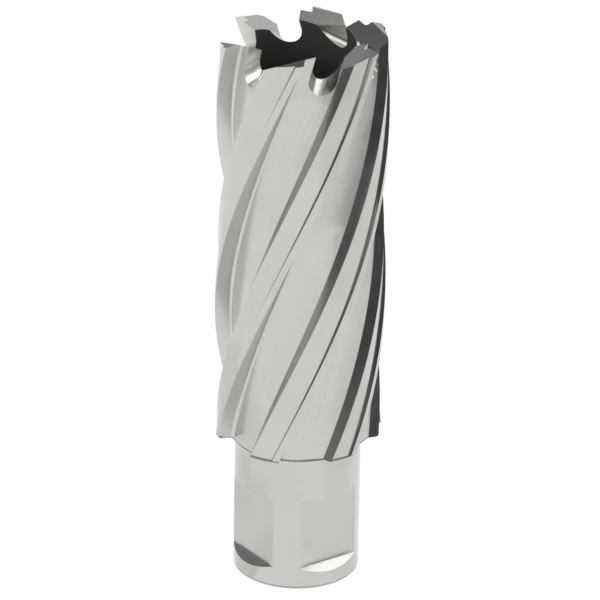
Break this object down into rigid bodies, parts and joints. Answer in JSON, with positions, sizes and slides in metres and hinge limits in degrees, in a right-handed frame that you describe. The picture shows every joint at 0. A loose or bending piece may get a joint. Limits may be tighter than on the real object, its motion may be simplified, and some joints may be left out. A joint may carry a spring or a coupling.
{
  "type": "annular cutter",
  "caption": "Hollow hole-cutting tool with helical flutes, split ground teeth round a slug bore, and a plain shank with two clamping flats.",
  "frame": {"origin": "centre of the shank's end face, at the bottom centre of the overall box", "axes": "+Z along the cutter's axis from the shank to the teeth, and -Y towards the side that the picture shows, between the two clamping flats"},
  "size_m": [0.0254, 0.0254, 0.0861],
  "materials": {
    "ground_steel": "fine ground"
  },
  "bodies": {
    "root": {"annular_cutter": "ground_steel"}
  },
  "joints": []
}
